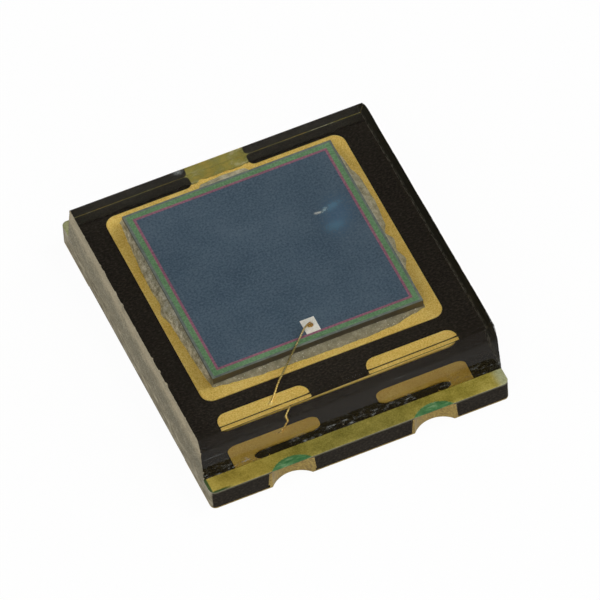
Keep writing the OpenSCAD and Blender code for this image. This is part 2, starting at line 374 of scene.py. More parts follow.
def make_terminal(end, name, node):
    """Underside land of an end, with the plating that climbs its notches and a burr along its outer edge."""
    burr_depth = 0.006
    outer, land = NOTCH_R + PLATING, BOARD_L / 2 - LAND_L
    points, rows = [], []

    def add(x, y, z):
        """Adds a point, with y counted towards this end, and gives its number."""
        points.append((x, end * y, z))
        return len(points) - 1

    def column(x):
        """Outer edge of the land at x, how far its top reaches before the plating, and if it is plated."""
        reach = notch_reach(x, NOTCH_R)
        wide = notch_reach(x, outer)
        front = board_end(x) if reach is None else reach
        return front, front if wide is None else min(wide, front), wide is not None

    for x in end_stations(NOTCH_R):
        front, back, plated = column(x)
        burr = burr_depth * max(0.0, rough(x * 14.0, end * 3.0, 2.0)) if not plated else 0.0
        top = BOARD_TOP if plated else CORE_Z
        rows.append([add(x, land, 0), add(x, front - burr * 0.5, 0), add(x, front, min(top, CORE_Z * 0.7)),
                     add(x, front, top), add(x, back, top), add(x, back, CORE_Z), add(x, land, CORE_Z)])
    obj = piece(name, points, skin(rows), [node])
    made = bmesh.new()
    made.from_mesh(obj.data)
    bmesh.ops.dissolve_degenerate(made, dist=1e-8, edges=made.edges)
    bmesh.ops.recalc_face_normals(made, faces=made.faces)
    made.to_mesh(obj.data)
    made.free()
    sharpen(obj, 35)
    return obj


def ease(share):
    """A share of 0 to 1 with a soft start and a soft end."""
    share = min(1.0, max(0.0, share))
    return share * share * (3 - 2 * share)


def wire_path():
    """Length of the wire's run, and its centre line from the neck to the stitch: places and directions."""
    bend_steps, fall_steps, foot_steps, neck_h = 18, 16, 14, 0.02
    run = math.hypot(STITCH[0] - PATTERN_X, STITCH[1] - BOND_Y)
    bend_z, foot_z = BOND_TOP + LOOP_H - BEND_R, TRACK_TOP + WIRE_R + FOOT_R
    drop = bend_z - foot_z
    fall = math.asin((BEND_R + FOOT_R) / math.hypot(run - BEND_R, drop)) + math.atan2(drop, run - BEND_R)
    line = [(0.0, BOND_TOP + BALL_H + neck_h, 0.0, 1.0)]
    for a in spread(math.pi, math.pi / 2 - fall, bend_steps):
        cos, sin = math.cos(a), math.sin(a)
        line.append((BEND_R * (1 + cos), bend_z + BEND_R * sin, sin, -cos))
    u0, z0, du, dz = line[-1]
    start = 1.5 * math.pi - fall
    u1, z1 = run + FOOT_R * math.cos(start), foot_z + FOOT_R * math.sin(start)
    for i in range(1, fall_steps):
        line.append((u0 + (u1 - u0) * i / fall_steps, z0 + (z1 - z0) * i / fall_steps, du, dz))
    for a in spread(start, start + fall, foot_steps):
        cos, sin = math.cos(a), math.sin(a)
        line.append((run + FOOT_R * cos, foot_z + FOOT_R * sin, -sin, cos))
    return run, line


# Rings of the ball: radius and height over the bond pad
BALL_RINGS = [(0.002, -SINK), (0.031, -SINK), (0.0405, 0.004), (0.0425, 0.011), (0.039, 0.019),
              (0.029, 0.0245), (0.019, 0.0275), (0.0150, 0.033)]
# Rings of the stitch: distance past the foot, half width and half height
STITCH_RINGS = [(0.012, 0.02, 0.011), (0.024, 0.03, 0.0075), (0.042, 0.034, 0.0055), (0.058, 0.028, 0.0035),
                (0.07, 0.012, 0.002)]


def make_wire():
    """Gold wire with its flattened ball and pressed stitch, as one skin from end to end."""
    sides = 20
    run, line = wire_path()
    heading = math.atan2(STITCH[1] - BOND_Y, STITCH[0] - PATTERN_X)
    ch, sh = math.cos(heading), math.sin(heading)
    points, rings = [], []

    def place(u, v, z):
        """Adds a point by its distances along the wire's run, beside it and up."""
        swayed = v - SWAY * ease(u / SWAY_START) * ease((run - u) / SWAY_END)
        points.append((PATTERN_X + ch * u - sh * swayed, BOND_Y + sh * u + ch * swayed, z))

    def ring_at(u, z, du, dz, wide, tall):
        """Adds a ring of points across a direction."""
        rings.append(range(len(points), len(points) + sides))
        for i in range(sides):
            b = 2 * math.pi * i / sides
            push, side = tall * math.cos(b), wide * math.sin(b)
            place(u - dz * push, side, z + du * push)

    for radius, rise in BALL_RINGS:
        ring_at(0.0, BOND_TOP + rise, 0.0, 1.0, radius, radius)
    for u, z, du, dz in line:
        ring_at(u, z, du, dz, WIRE_R, WIRE_R)
    for far, wide, tall in STITCH_RINGS:
        ring_at(run + far, TRACK_TOP - SINK + tall, 1.0, 0.0, wide, tall)
    return piece("bond_wire_fine", points, skin(rings), ["bond_wire"])


# How far the adhesive is squeezed out beyond the chip, at places along its right, rear, left and front sides
BANKS = [[(-1.5, 0.02), (-1.2, 0.03), (-0.82, 0.06), (-0.65, 0.12), (-0.46, 0.08), (-0.3, 0.12),
          (-0.15, 0.06), (0.0, 0.12), (0.4, 0.155), (0.85, 0.14), (1.1, 0.08), (1.5, 0.03)],
         [(-1.5, 0.02), (-0.85, 0.035), (-0.6, 0.09), (-0.42, 0.06), (-0.3, 0.165), (0.0, 0.18),
          (0.3, 0.16), (0.42, 0.06), (0.6, 0.1), (0.8, 0.07), (1.0, 0.03), (1.5, 0.04)],
         [(-1.5, 0.03), (-1.15, 0.06), (-0.8, 0.09), (-0.4, 0.11), (-0.05, 0.1), (0.145, 0.15),
          (0.35, 0.1), (0.8, 0.085), (1.3, 0.05), (1.5, 0.02)],
         [(-1.5, 0.035), (-1.25, 0.07), (-1.05, 0.09), (-0.85, 0.11), (-0.4, 0.125), (0.1, 0.135),
          (0.6, 0.14), (1.0, 0.12), (1.35, 0.05), (1.5, 0.02)]]
# How high the bank starts to climb the chip on each of these sides
CLIMBS = [0.03, 0.03, 0.16, 0.03]


def bank_reach(bank, t):
    """Reach of a bank at a place along its side, eased from one listed place to the next."""
    for (low, near), (high, far) in zip(bank, bank[1:]):
        if t <= high:
            return near + (far - near) * ease((t - low) / (high - low))
    return bank[-1][1]


def make_adhesive():
    """Collar of silver adhesive round the chip's foot: a low lumpy bank that runs out on the die pad."""
    per_side, fan, section = 170, 8, 14
    under, least_reach, below_top, smooth, lumpy = 0.02, 0.012, 0.012, 0.0012, 0.004
    walk = []
    for corner in range(4):
        bank, next_bank = BANKS[corner], BANKS[(corner + 1) % 4]
        climb, next_climb = CLIMBS[corner], CLIMBS[(corner + 1) % 4]
        angle = math.pi / 2 * corner
        out, along = (math.cos(angle), math.sin(angle)), (-math.sin(angle), math.cos(angle))
        for t in spread(-CHIP_HALF, CHIP_HALF, per_side):
            x, y = out[0] * CHIP_HALF + along[0] * t, out[1] * CHIP_HALF + along[1] * t
            walk.append((x, y, out, bank_reach(bank, t), climb))
        for i in range(1, fan):
            share, turn = i / fan, angle + math.pi / 2 * i / fan
            reach = bank[-1][1] + (next_bank[0][1] - bank[-1][1]) * share
            out = math.cos(turn), math.sin(turn)
            walk.append((x, y, out, reach, climb + (next_climb - climb) * share))
    points, faces, rings = [], [], []
    for x, y, out, bank, climbing in walk:
        rings.append(range(len(points), len(points) + section + 1))
        reach = max(least_reach, bank + 0.01 * rough(x * 7.0 + out[0] * 3, y * 7.0 + out[1] * 3, 4.0))
        climb = climbing + 0.3 * reach + 0.012 * rough(x * 6.0, y * 6.0, 8.0)
        climb = min(CHIP_TOP - TRACK_TOP - below_top, climb)
        lumps = smooth if out[1] < -0.7 else lumpy
        for i in range(section):
            t = i / (section - 1)
            far = -under + (reach + under) * t
            px, py = PATTERN_X + x + out[0] * far, CHIP_Y + y + out[1] * far
            swell = climb * (1 - t ** 2.4) ** 1.2
            swell += lumps * rough(px * 30.0, py * 30.0, 3.0) * (1 - abs(2 * t - 1) ** 4)
            z = TRACK_TOP + max(0.003, swell) if i < section - 1 else TRACK_TOP - SINK
            points.append((px, py, z))
        points.append((PATTERN_X + x - out[0] * under, CHIP_Y + y - out[1] * under, TRACK_TOP - SINK))
    for a, b in zip(rings, rings[1:] + rings[:1]):
        faces += band(a, b)
    return piece("adhesive_collar", points, faces, ["die_attach"])


def make_fillets():
    """Copper fillets at the outer feet of the two necks that join the fingers to the anode strip."""
    arc_steps, below_top = 10, 0.0005
    points, faces = [], []
    strip_y = WALL_Y - STRIP_FOOT
    for (middle, half), side in zip(NECKS[-1], (-1, 1)):
        outline = []
        for a in spread(0, math.pi / 2, arc_steps):
            outline.append((half + SLOT_R - SLOT_R * math.cos(a), strip_y - SLOT_R + SLOT_R * math.sin(a)))
        outline += [(half + SLOT_R, strip_y + SINK), (half - SINK, strip_y + SINK)]
        outline.append((half - SINK, strip_y - SLOT_R))
        rings = []
        for z in (BOARD_TOP - SINK, TRACK_TOP - below_top):
            rings.append(range(len(points), len(points) + len(outline)))
            points += [(middle + side * x, -y, z) for x, y in outline]
        faces += skin(rings)
    return piece("neck_fillets", points, faces, smooth=False)


moulding = make_moulding()
resist_front = make_resist(-1, "resist_front_film", "solder_resist_front")
resist_rear = make_resist(1, "resist_rear_film", "solder_resist_rear")
board = make_board()
anode_land = make_terminal(-1, "anode_terminal_fine", "anode_terminal")
cathode_land = make_terminal(1, "cathode_terminal_fine", "cathode_terminal")
wire = make_wire()
adhesive = make_adhesive()
fillets = make_fillets()


# Materials

def srgb(red, green, blue):
    """A linear colour from screen values of 0 to 255."""
    def linear(c):
        """One channel in linear light."""
        c /= 255
        return c / 12.92 if c <= 0.04045 else ((c + 0.055) / 1.055) ** 2.4
    return (linear(red), linear(green), linear(blue), 1.0)


class Look:
    """A material under construction: a Principled shader and short ways to add nodes to it."""

    def __init__(self, name, **values):
        """Starts a material with constant values on the shader's sockets."""
        self.mat = bpy.data.materials.new(name)
        self.mat.use_nodes = True
        self.tree = self.mat.node_tree
        self.shader = self.tree.nodes["Principled BSDF"]
        self.output = self.tree.nodes["Material Output"]
        for socket, value in values.items():
            self.shader.inputs[socket.replace("_", " ")].default_value = value
        self.place = self.node("ShaderNodeTexCoord").outputs["Object"]

    def node(self, kind, **settings):
        """A new node with its settings."""
        made = self.tree.nodes.new(kind)
        for name, value in settings.items():
            setattr(made, name, value)
        return made

    def link(self, source, target):
        """Joins an output to an input."""
        self.tree.links.new(source, target)

    def feed(self, source, socket):
        """Joins an output to a socket of the shader."""
        self.link(source, self.shader.inputs[socket])

    def stretched(self, x, y, z):
        """The place with scaled axes: a share below 1 draws a texture out along its axis."""
        made = self.node("ShaderNodeVectorMath", operation="MULTIPLY")
        self.link(self.place, made.inputs[0])
        made.inputs[1].default_value = (x, y, z)
        return made.outputs[0]

    def noise(self, size, detail=3.0, harsh=0.55, place=None):
        """Noise whose features are about size millimetres wide."""
        made = self.node("ShaderNodeTexNoise")
        self.link(place or self.place, made.inputs["Vector"])
        made.inputs["Scale"].default_value = 1 / (size * MM)
        made.inputs["Detail"].default_value = detail
        made.inputs["Roughness"].default_value = harsh
        return made.outputs["Fac"]

    def cells(self, size):
        """A random value for each cell of about size millimetres, and the distance from its middle."""
        made, split = self.node("ShaderNodeTexVoronoi"), self.node("ShaderNodeSeparateColor")
        self.link(self.place, made.inputs["Vector"])
        made.inputs["Scale"].default_value = 1 / (size * MM)
        self.link(made.outputs["Color"], split.inputs[0])
        return split.outputs[0], made.outputs["Distance"]

    def math(self, operation, a, b=None, c=None):
        """A calculation with numbers and outputs."""
        made = self.node("ShaderNodeMath", operation=operation)
        for i, value in enumerate((a, b, c)):
            if value is None:
                continue
            if isinstance(value, (int, float)):
                made.inputs[i].default_value = value
            else:
                self.link(value, made.inputs[i])
        return made.outputs[0]

    def times(self, a, b):
        """Two values multiplied."""
        return self.math("MULTIPLY", a, b)

    def mixed(self, a, b, share):
        """Two values added up, with a share of the second."""
        return self.math("ADD", self.times(a, 1 - share), self.times(b, share))

    def ragged(self, value, grain, amount):
        """A value made uneven by a grain."""
        return self.math("MULTIPLY_ADD", self.math("SUBTRACT", grain, 0.5), amount, value)

    def length(self, u, v):
        """Length of a step with two parts."""
        squares = self.math("ADD", self.times(u, u), self.times(v, v))
        return self.math("SQRT", squares)

    def span(self, value, low, high, out_low=0.0, out_high=1.0):
        """Eases from one number to another while the value goes from low to high."""
        made = self.node("ShaderNodeMapRange", interpolation_type="SMOOTHSTEP")
        self.link(value, made.inputs["Value"])
        limits = {"From Min": low, "From Max": high, "To Min": out_low, "To Max": out_high}
        for name, number in limits.items():
            made.inputs[name].default_value = number
        return made.outputs["Result"]

    def ramp(self, value, *stops):
        """Linear colours at positions of a value."""
        made = self.node("ShaderNodeValToRGB")
        self.link(value, made.inputs["Fac"])
        marks = made.color_ramp.elements
        while len(marks) < len(stops):
            marks.new(0.5)
        for mark, (position, colour) in zip(marks, stops):
            mark.position = position
            mark.color = colour
        return made.outputs["Color"]

    def shades(self, value, *stops):
        """A ramp whose stops are a position and the screen values of a colour."""
        return self.ramp(value, *((position, srgb(*colour)) for position, *colour in stops))

    def blend(self, share, a, b):
        """Colour a with a share of colour b over it."""
        made = self.node("ShaderNodeMix", data_type="RGBA")
        # The node's colours are its inputs 6 and 7 and its output 2
        for value, target in ((share, made.inputs[0]), (a, made.inputs[6]), (b, made.inputs[7])):
            if isinstance(value, (int, float, tuple)):
                target.default_value = value
            else:
                self.link(value, target)
        return made.outputs[2]

    def either(self, share, a, b):
        """Shader a with a share of shader b."""
        made = self.node("ShaderNodeMixShader")
        for i, source in enumerate((share, a, b)):
            self.link(source, made.inputs[i])
        return made.outputs[0]

    def axis(self, name):
        """A coordinate in millimetres."""
        made = self.node("ShaderNodeSeparateXYZ")
        self.link(self.place, made.inputs[0])
        return self.times(made.outputs[name], 1 / MM)

    def facing(self, name):
        """How squarely the face looks along an axis, either way."""
        made = self.node("ShaderNodeSeparateXYZ")
        self.link(self.node("ShaderNodeNewGeometry").outputs["Normal"], made.inputs[0])
        return self.math("ABSOLUTE", made.outputs[name])

    def spot(self, grain, cx, cy, along, across, turn):
        """A ragged spot in plan: its middle, half length and half width in millimetres, and its turn."""
        dx, dy = self.math("SUBTRACT", self.axis("X"), cx), self.math("SUBTRACT", self.axis("Y"), cy)
        ct, st = math.cos(turn), math.sin(turn)
        u = self.math("MULTIPLY_ADD", dx, ct / along, self.times(dy, st / along))
        v = self.math("MULTIPLY_ADD", dx, -st / across, self.times(dy, ct / across))
        return self.span(self.ragged(self.length(u, v), grain, 2.6), 0.2, 1.1, 1.0, 0.0)

    def surface(self, colour, roughness, height, depth):
        """Gives the shader a colour, a roughness and bumps of depth millimetres."""
        self.feed(colour, "Base Color")
        self.feed(roughness, "Roughness")
        made = self.node("ShaderNodeBump")
        made.inputs["Strength"].default_value = 1.0
        made.inputs["Distance"].default_value = depth * MM
        self.link(height, made.inputs["Height"])
        self.feed(made.outputs["Normal"], "Normal")
        return self.mat


def gold(name, dark, mid, light, roughness, grain):
    """Gold plating with a matte grain."""
    look = Look(name, Metallic=0.7)
    fine = look.noise(grain, 2.0, 0.6)
    tone = look.mixed(look.noise(0.35), fine, 0.75)
    colour = look.shades(tone, (0.36, *dark), (0.5, *mid), (0.66, *light))
    return look.surface(colour, look.span(fine, 0.3, 0.7, roughness - 0.08, roughness + 0.1), fine, 0.0022)


def drawn_gold():
    """The wire: brown at the ball, with painted shade in its fall and a painted highlight at the stitch."""
    look = Look("gold_wire_drawn", Metallic=0.7)
    fine = look.noise(0.02, 2.0, 0.6)
    # Painted reflections along the wire: a painted highlight at the stitch, painted shade through its fall, a
    # paler painted sheen below the ball, then brown at the ball
    share = look.span(look.ragged(look.axis("Y"), fine, 0.08), STITCH[1], BOND_Y + 0.04)
    tone = look.shades(share, (0.02, 232, 202, 120), (0.14, 200, 174, 98), (0.3, 160, 146, 88),
                       (0.55, 134, 122, 78), (0.7, 138, 126, 76), (0.86, 180, 166, 116),
                       (0.96, 204, 188, 136), (0.985, 172, 132, 66))
    return look.surface(tone, look.span(fine, 0.3, 0.7, 0.18, 0.32), fine, 0.001)


def laminate():
    """Black glass laminate, with dusty sawn sides."""
    look = Look("black_laminate_weave", Specular_IOR_Level=0.05)
    fibre = look.noise(0.025, 3.0, 0.65, look.stretched(0.6, 1.0, 1.0))
    black = look.shades(fibre, (0.3, 24, 22, 18), (0.5, 36, 32, 27), (0.72, 55, 50, 43))
    streak = look.noise(0.06, 4.0, 0.65, look.stretched(1.0, 0.3, 1.0))
    dusty = look.shades(streak, (0.3, 98, 91, 75), (0.5, 130, 123, 104), (0.72, 168, 160, 140))
    colour = look.blend(look.span(look.facing("X"), 0.6, 0.9), black, dusty)
    return look.surface(colour, look.span(look.noise(0.5), 0.3, 0.7, 0.6, 0.8), fibre, 0.003)


def resist(end):
    """Resist film of an end: olive on the strip, green over the notches, black in the slots, and a painted
    highlight towards one end of the ledge.
    """
    look = Look("green_resist_film" if end < 0 else "green_resist_film_rear", Specular_IOR_Level=0.2)
    x, y = look.axis("X"), look.times(look.axis("Y"), float(end))
    fine = look.noise(0.018, 3.0, 0.65)
    tone = look.mixed(look.noise(0.25), fine, 0.5)
    streak = look.noise(0.05, 3.0, 0.6, look.stretched(0.4, 1.0, 1.0))
    olive = look.shades(tone, (0.35, 104, 95, 30), (0.5, 136, 124, 48), (0.66, 166, 152, 74))
    green = look.shades(streak, (0.35, 46, 92, 52), (0.52, 68, 112, 66), (0.7, 112, 144, 104))
    dark = look.shades(tone, (0.35, 36, 52, 26), (0.65, 66, 84, 44))
    black = look.shades(fine, (0.3, 20, 18, 13), (0.5, 32, 29, 22), (0.72, 52, 48, 38))
    pale = look.shades(streak, (0.3, 92, 90, 70), (0.7, 146, 142, 120))
    # A pale shade used as a painted highlight towards the ledge's end; on the rear film its bare edge takes
    # it too
    corner = look.shades(tone, (0.35, 116, 118, 74), (0.65, 176, 176, 138))
    to_notch = []
    for side in (-1, 1):
        dx = look.math("SUBTRACT", x, PATTERN_X + side * NOTCH_PITCH / 2)
        to_notch.append(look.length(dx, look.math("SUBTRACT", y, NOTCH_Y)))
    near = look.ragged(look.math("MINIMUM", *to_notch), fine, 0.03)
    tent = look.span(near, NOTCH_R - 0.012, NOTCH_R + 0.008, 1.0, 0.0)
    edge = look.math("MINIMUM", look.math("SUBTRACT", BOARD_L / 2 + 0.01, y),
                     look.math("SUBTRACT", BOARD_W / 2, look.math("ABSOLUTE", x)))
    bare = look.span(edge, STRIP_INSET - 0.012, STRIP_INSET + 0.006, 1.0, 0.0)
    bare = look.times(bare, look.span(x, -1.75, -1.95))
    to_neck = 0.0
    for middle, half in NECKS[end]:
        beside = look.math("ABSOLUTE", look.math("SUBTRACT", x, middle))
        to_neck = look.math("MAXIMUM", to_neck, look.math("SUBTRACT", half + SLOT_R, beside))
    strip_y = WALL_Y - STRIP_SEEN[end]
    to_strip = look.math("MAXIMUM", look.math("SUBTRACT", y, strip_y - SLOT_R), 0.0)
    off_strip = look.span(look.length(to_neck, to_strip), SLOT_R - 0.004, SLOT_R + 0.004, 1.0, 0.0)
    if end > 0:
        mottle = look.noise(0.11, 4.0, 0.65, look.stretched(0.6, 1.0, 1.0))
        washed = look.shades(mottle, (0.37, 204, 172, 80), (0.46, 164, 150, 68), (0.53, 140, 140, 70),
                             (0.58, 176, 174, 124), (0.65, 220, 216, 186))
        olive = look.blend(look.span(y, WALL_Y - 0.01, WALL_Y + 0.04, 1.0, 0.0), olive, washed)
    dulled = look.shades(tone, (0.35, 84, 80, 26), (0.65, 140, 130, 62))
    olive = look.blend(look.span(look.math("ABSOLUTE", x), 0.3, 1.5, 0.75, 0.0), olive, dulled)
    warm = look.shades(tone, (0.35, 128, 108, 38), (0.65, 180, 156, 72))
    olive = look.blend(look.span(x, -0.9, -1.5, 0.0, 0.5), olive, warm)
    # Painted highlight: the ledge turns pale towards its end
    highlight_at_end = look.span(look.times(x, float(-end)), 1.92, 2.06)
    colour = look.blend(highlight_at_end, olive, corner)
    colour = look.blend(bare, colour, corner if end > 0 else dark)
    colour = look.blend(off_strip, colour, black)
    colour = look.blend(tent, colour, green)
    raw = look.span(look.facing("Z"), 0.35, 0.75, 1.0, 0.0)
    outside = look.span(y, WALL_Y, WALL_Y + 0.05)
    upper = look.span(look.axis("Z"), RESIST_TOP - 0.02, RESIST_TOP - 0.012)
    broken = look.blend(upper, srgb(70, 66, 46), pale)
    colour = look.blend(look.times(raw, outside), colour, broken)
    sawn = look.shades(tone, (0.35, 104, 97, 81), (0.65, 150, 142, 122))
    colour = look.blend(look.span(look.facing("X"), 0.6, 0.9), colour, sawn)
    return look.surface(colour, look.span(fine, 0.3, 0.7, 0.35, 0.55), tone, 0.003)


def pass_light(look, surface, colour):
    """Lets the lamps shine through a clear or frosted wall, which the refraction alone would shade."""
    through = look.node("ShaderNodeBsdfTransparent")
    through.inputs["Color"].default_value = colour
    shadow = look.node("ShaderNodeLightPath").outputs["Is Shadow Ray"]
    look.link(look.either(shadow, surface, through.outputs[0]), look.output.inputs["Surface"])


def sawn_epoxy():
    """A sawn side of the moulding: frosted and streaked from outside, with a dark painted shade where it is
    seen from inside.
    """
    look = Look("clear_epoxy_sawn", Specular_IOR_Level=0.04)
    y, z = look.axis("Y"), look.axis("Z")
    streak = look.noise(0.12, 4.0, 0.6, look.stretched(1.0, 0.4, 1.0))
    grain = look.noise(0.018, 3.0, 0.65)
    tone = look.mixed(streak, grain, 0.35)
    rise = look.math("DIVIDE", look.ragged(z, tone, 0.3), HEIGHT)
    body = look.shades(rise, (0.28, 122, 115, 97), (0.42, 104, 100, 86), (0.58, 106, 102, 88),
                       (0.7, 134, 125, 104), (0.82, 172, 160, 135), (0.96, 160, 150, 127))
    # Paler towards the rear end
    paler_rear = look.shades(tone, (0.3, 138, 130, 109), (0.7, 180, 171, 146))
    body = look.blend(look.span(y, -1.6, 1.6, 0.0, 0.2), body, paler_rear)
    patch = look.noise(0.15, 4.0, 0.65, look.stretched(1.0, 0.7, 1.0))
    body = look.blend(look.span(patch, 0.36, 0.5, 0.3, 0.0), body, srgb(88, 90, 78))
    body = look.blend(look.span(patch, 0.52, 0.66, 0.0, 0.25), body, srgb(190, 178, 152))
    speck = look.shades(grain, (0.3, 66, 61, 48), (0.5, 126, 118, 98), (0.7, 206, 199, 180))
    outside = look.blend(0.36, body, speck)
    foot = look.times(look.span(z, 0.35, 0.58, 1.0, 0.0), look.span(look.noise(0.06, 4.0, 0.7), 0.42, 0.62))
    # Painted shade: the side seen from inside the block is painted dark, with a paler ragged band at its foot
    inner_painted_shade = look.shades(tone, (0.35, 30, 28, 22), (0.65, 48, 45, 36))
    inside = look.blend(foot, inner_painted_shade, srgb(112, 108, 97))
    back = look.node("ShaderNodeNewGeometry").outputs["Backfacing"]
    pass_light(look, look.shader.outputs[0], (0.75, 0.73, 0.68, 1.0))
    return look.surface(look.blend(back, outside, inside), look.span(grain, 0.3, 0.7, 0.7, 0.9), tone, 0.003)


def wall_dust(look, front):
    """Share of dust on the front wall: crumbs and smears in heaps beside the necks, and fine scratches."""
    chance, far = look.cells(0.016)
    crumbs = look.times(look.span(far, 0.15, 0.45, 0.45, 0.0), look.span(chance, 0.7, 1.0))
    smears = look.span(look.noise(0.06, 5.0, 0.72, look.stretched(0.55, 1.0, 1.0)), 0.5, 0.7, 0.0, 0.8)
    heaps = look.span(look.noise(0.2, 3.0), 0.34, 0.52)
    dust = look.times(look.math("MAXIMUM", crumbs, smears), heaps)
    low = look.span(look.axis("Z"), RESIST_TOP + 0.07, RESIST_TOP + 0.3, 1.0, 0.0)
    for middle, half in NECKS[-1]:
        beside = look.math("ABSOLUTE", look.math("SUBTRACT", look.axis("X"), middle))
        low = look.times(low, look.span(beside, half - 0.04, half + 0.05))
    scratch = look.span(look.noise(0.035, 3.0, 0.6, look.stretched(0.06, 1.0, 1.0)), 0.62, 0.74, 0.0, 0.2)
    dust = look.math("MAXIMUM", look.times(dust, low), scratch)
    return look.times(dust, look.times(front, 0.8))


def clear_epoxy():
    """The clear moulding: faintly hazy, with a brown painted shade and dust on its front wall, bruised at its
    rear edge.
    """
    look = Look("clear_epoxy_moulded", IOR=1.54, Transmission_Weight=1.0,
                Specular_Tint=(0.05, 0.05, 0.05, 1.0))
    haze = look.noise(0.4, 2.0)
    clear = look.ramp(haze, (0.3, (0.97, 0.965, 0.95, 1.0)), (0.7, (1.0, 0.998, 0.99, 1.0)))
    # Painted shade: a brown tint on the front wall darkens what is seen through it
    front_wall_shade = look.ramp(haze, (0.3, (0.35, 0.29, 0.155, 1.0)), (0.7, (0.42, 0.35, 0.2, 1.0)))
    front = look.times(look.span(look.facing("Y"), 0.935, 0.985), look.span(look.axis("Y"), -1.8, -2.0))
    look.feed(look.blend(front, clear, front_wall_shade), "Base Color")
    look.feed(look.span(haze, 0.35, 0.75, 0.0, 0.012), "Roughness")
    bruise = look.spot(look.noise(0.03, 4.0, 0.7), -0.58, 2.06, 0.08, 0.06, 0.0)
    bruise = look.times(bruise, look.span(look.axis("Z"), 0.95, 1.0, 0.0, 0.6))
    marked = look.math("MAXIMUM", wall_dust(look, front), bruise)
    grey = look.node("ShaderNodeBsdfDiffuse")
    tone = look.shades(look.noise(0.03), (0.35, 96, 100, 99), (0.65, 170, 174, 172))
    look.link(tone, grey.inputs["Color"])
    surface = look.either(marked, look.shader.outputs[0], grey.outputs[0])
    pass_light(look, surface, (0.93, 0.93, 0.92, 1.0))
    return look.mat


def film(name, dark, mid, light, roughness=0.38, size=0.03, metal=0.25, marks=None):
    """A film on the chip, or its bond pad; marks puts more on its colour."""
    look = Look(name, Metallic=metal)
    tone = look.mixed(look.noise(0.6), look.noise(size, 3.0, 0.6), 0.75)
    colour = look.shades(tone, (0.36, *dark), (0.5, *mid), (0.64, *light))
    if marks:
        colour = marks(look, colour)
    roughness = look.span(tone, 0.35, 0.65, roughness - 0.05, roughness + 0.08)
    return look.surface(colour, roughness, tone, 0.0006)


def window_marks(look, colour):
    """Pale spots with bluish patches round them, and a few faint scratches on the window."""
    grain = look.noise(0.03, 3.0, 0.65)
    scratch = look.span(look.noise(0.02, 3.0, 0.6, look.stretched(0.08, 1.0, 1.0)), 0.68, 0.76, 0.0, 0.35)
    colour = look.blend(scratch, colour, srgb(104, 124, 140))
    for share, place, tint in ((0.3, (1.1, 0.7, 0.4, 0.25, 1.2), srgb(74, 112, 146)),
                               (0.35, (1.0, 0.54, 0.18, 0.1, 0.1), srgb(84, 128, 150)),
                               (0.4, (1.1, 0.86, 0.16, 0.07, 0.3), srgb(92, 136, 158)),
                               (0.75, (0.885, 0.83, 0.07, 0.024, -0.1), srgb(214, 212, 198)),
                               (0.55, (0.985, 0.845, 0.07, 0.028, 0.4), srgb(168, 190, 188))):
        colour = look.blend(look.times(look.spot(grain, *place), share), colour, tint)
    return colour


def silicon():
    """The chip: dark sawn sides and a greenish rim round its top."""
    look = Look("silicon_sawn", Metallic=0.2)
    tone = look.noise(0.02, 3.0, 0.6, look.stretched(0.3, 0.3, 1.0))
    rim = look.shades(tone, (0.3, 84, 94, 90), (0.7, 116, 124, 116))
    side = look.shades(tone, (0.3, 34, 31, 26), (0.7, 66, 62, 52))
    colour = look.blend(look.span(look.facing("Z"), 0.4, 0.8), side, rim)
    return look.surface(colour, look.span(tone, 0.3, 0.7, 0.4, 0.55), tone, 0.0015)


def silver():
    """Silver-filled adhesive with a few glints: paler on the left, darker in front, and painted shade where
    it climbs the chip.
    """
    look = Look("silver_adhesive_flakes", Metallic=0.15)
    glint = look.span(look.cells(0.014)[0], 0.95, 1.0, 0.0, 0.6)
    fine = look.noise(0.02, 3.0, 0.6)
    tone = look.mixed(look.noise(0.09, 4.0, 0.6), fine, 0.4)
    base = look.shades(tone, (0.36, 144, 138, 111), (0.5, 188, 181, 151), (0.64, 216, 210, 185))
    darker_and_shaded = look.shades(tone, (0.36, 104, 99, 76), (0.5, 124, 118, 94), (0.64, 146, 140, 116))
    paler_left = look.shades(tone, (0.38, 132, 126, 100), (0.5, 192, 186, 158), (0.61, 238, 234, 216))
    # Paler on the left
    base = look.blend(look.span(look.axis("X"), PATTERN_X - 1.4, PATTERN_X - 1.48), base, paler_left)
    # Darker in front
    base = look.blend(look.span(look.axis("Y"), -0.9, -1.1), base, darker_and_shaded)
    # Painted shade: darker where the bank climbs the chip's edge
    base = look.blend(look.span(look.axis("Z"), 0.44, 0.52, 0.0, 0.6), base, darker_and_shaded)
    colour = look.blend(glint, base, srgb(204, 200, 182))
    return look.surface(colour, look.span(glint, 0.0, 1.0, 0.65, 0.45), fine, 0.0015)


def dress(obj, *mats):
    """Gives an object its materials; a fresh piece keeps the material number of each face."""
    if obj.data.materials:
        obj.data.materials.clear()
    for mat in mats:
        obj.data.materials.append(mat)


track_gold = gold("gold_track_matte", (218, 178, 78), (240, 204, 104), (252, 226, 140), 0.45, 0.018)
land_gold = gold("gold_terminal_flash", (112, 92, 46), (142, 120, 60), (168, 146, 84), 0.5, 0.03)
dress(moulding, clear_epoxy(), sawn_epoxy())
dress(resist_front, resist(-1))
dress(resist_rear, resist(1))
dress(board, laminate())
dress(anode_land, land_gold)
dress(cathode_land, land_gold)
dress(wire, drawn_gold())
dress(adhesive, silver())
dress(fillets, track_gold)
dress(nodes["cathode_track"], track_gold)
dress(nodes["anode_track"], track_gold)
dress(nodes["chip"], silicon())
dress(nodes["oxide_frame"], film("green_oxide_film", (76, 112, 76), (95, 133, 93), (114, 152, 111)))
dress(nodes["edge_ring"], film("magenta_ring_film", (118, 73, 90), (138, 87, 106), (156, 102, 120)))
dress(nodes["window_film"], film("blue_window_film", (56, 74, 89), (70, 88, 103), (86, 103, 117),
                                marks=window_marks))
dress(nodes["bond_pad"], film("bond_pad_metal", (222, 220, 208), (235, 233, 222), (246, 244, 234),
                              0.35, 0.02, 0.3))


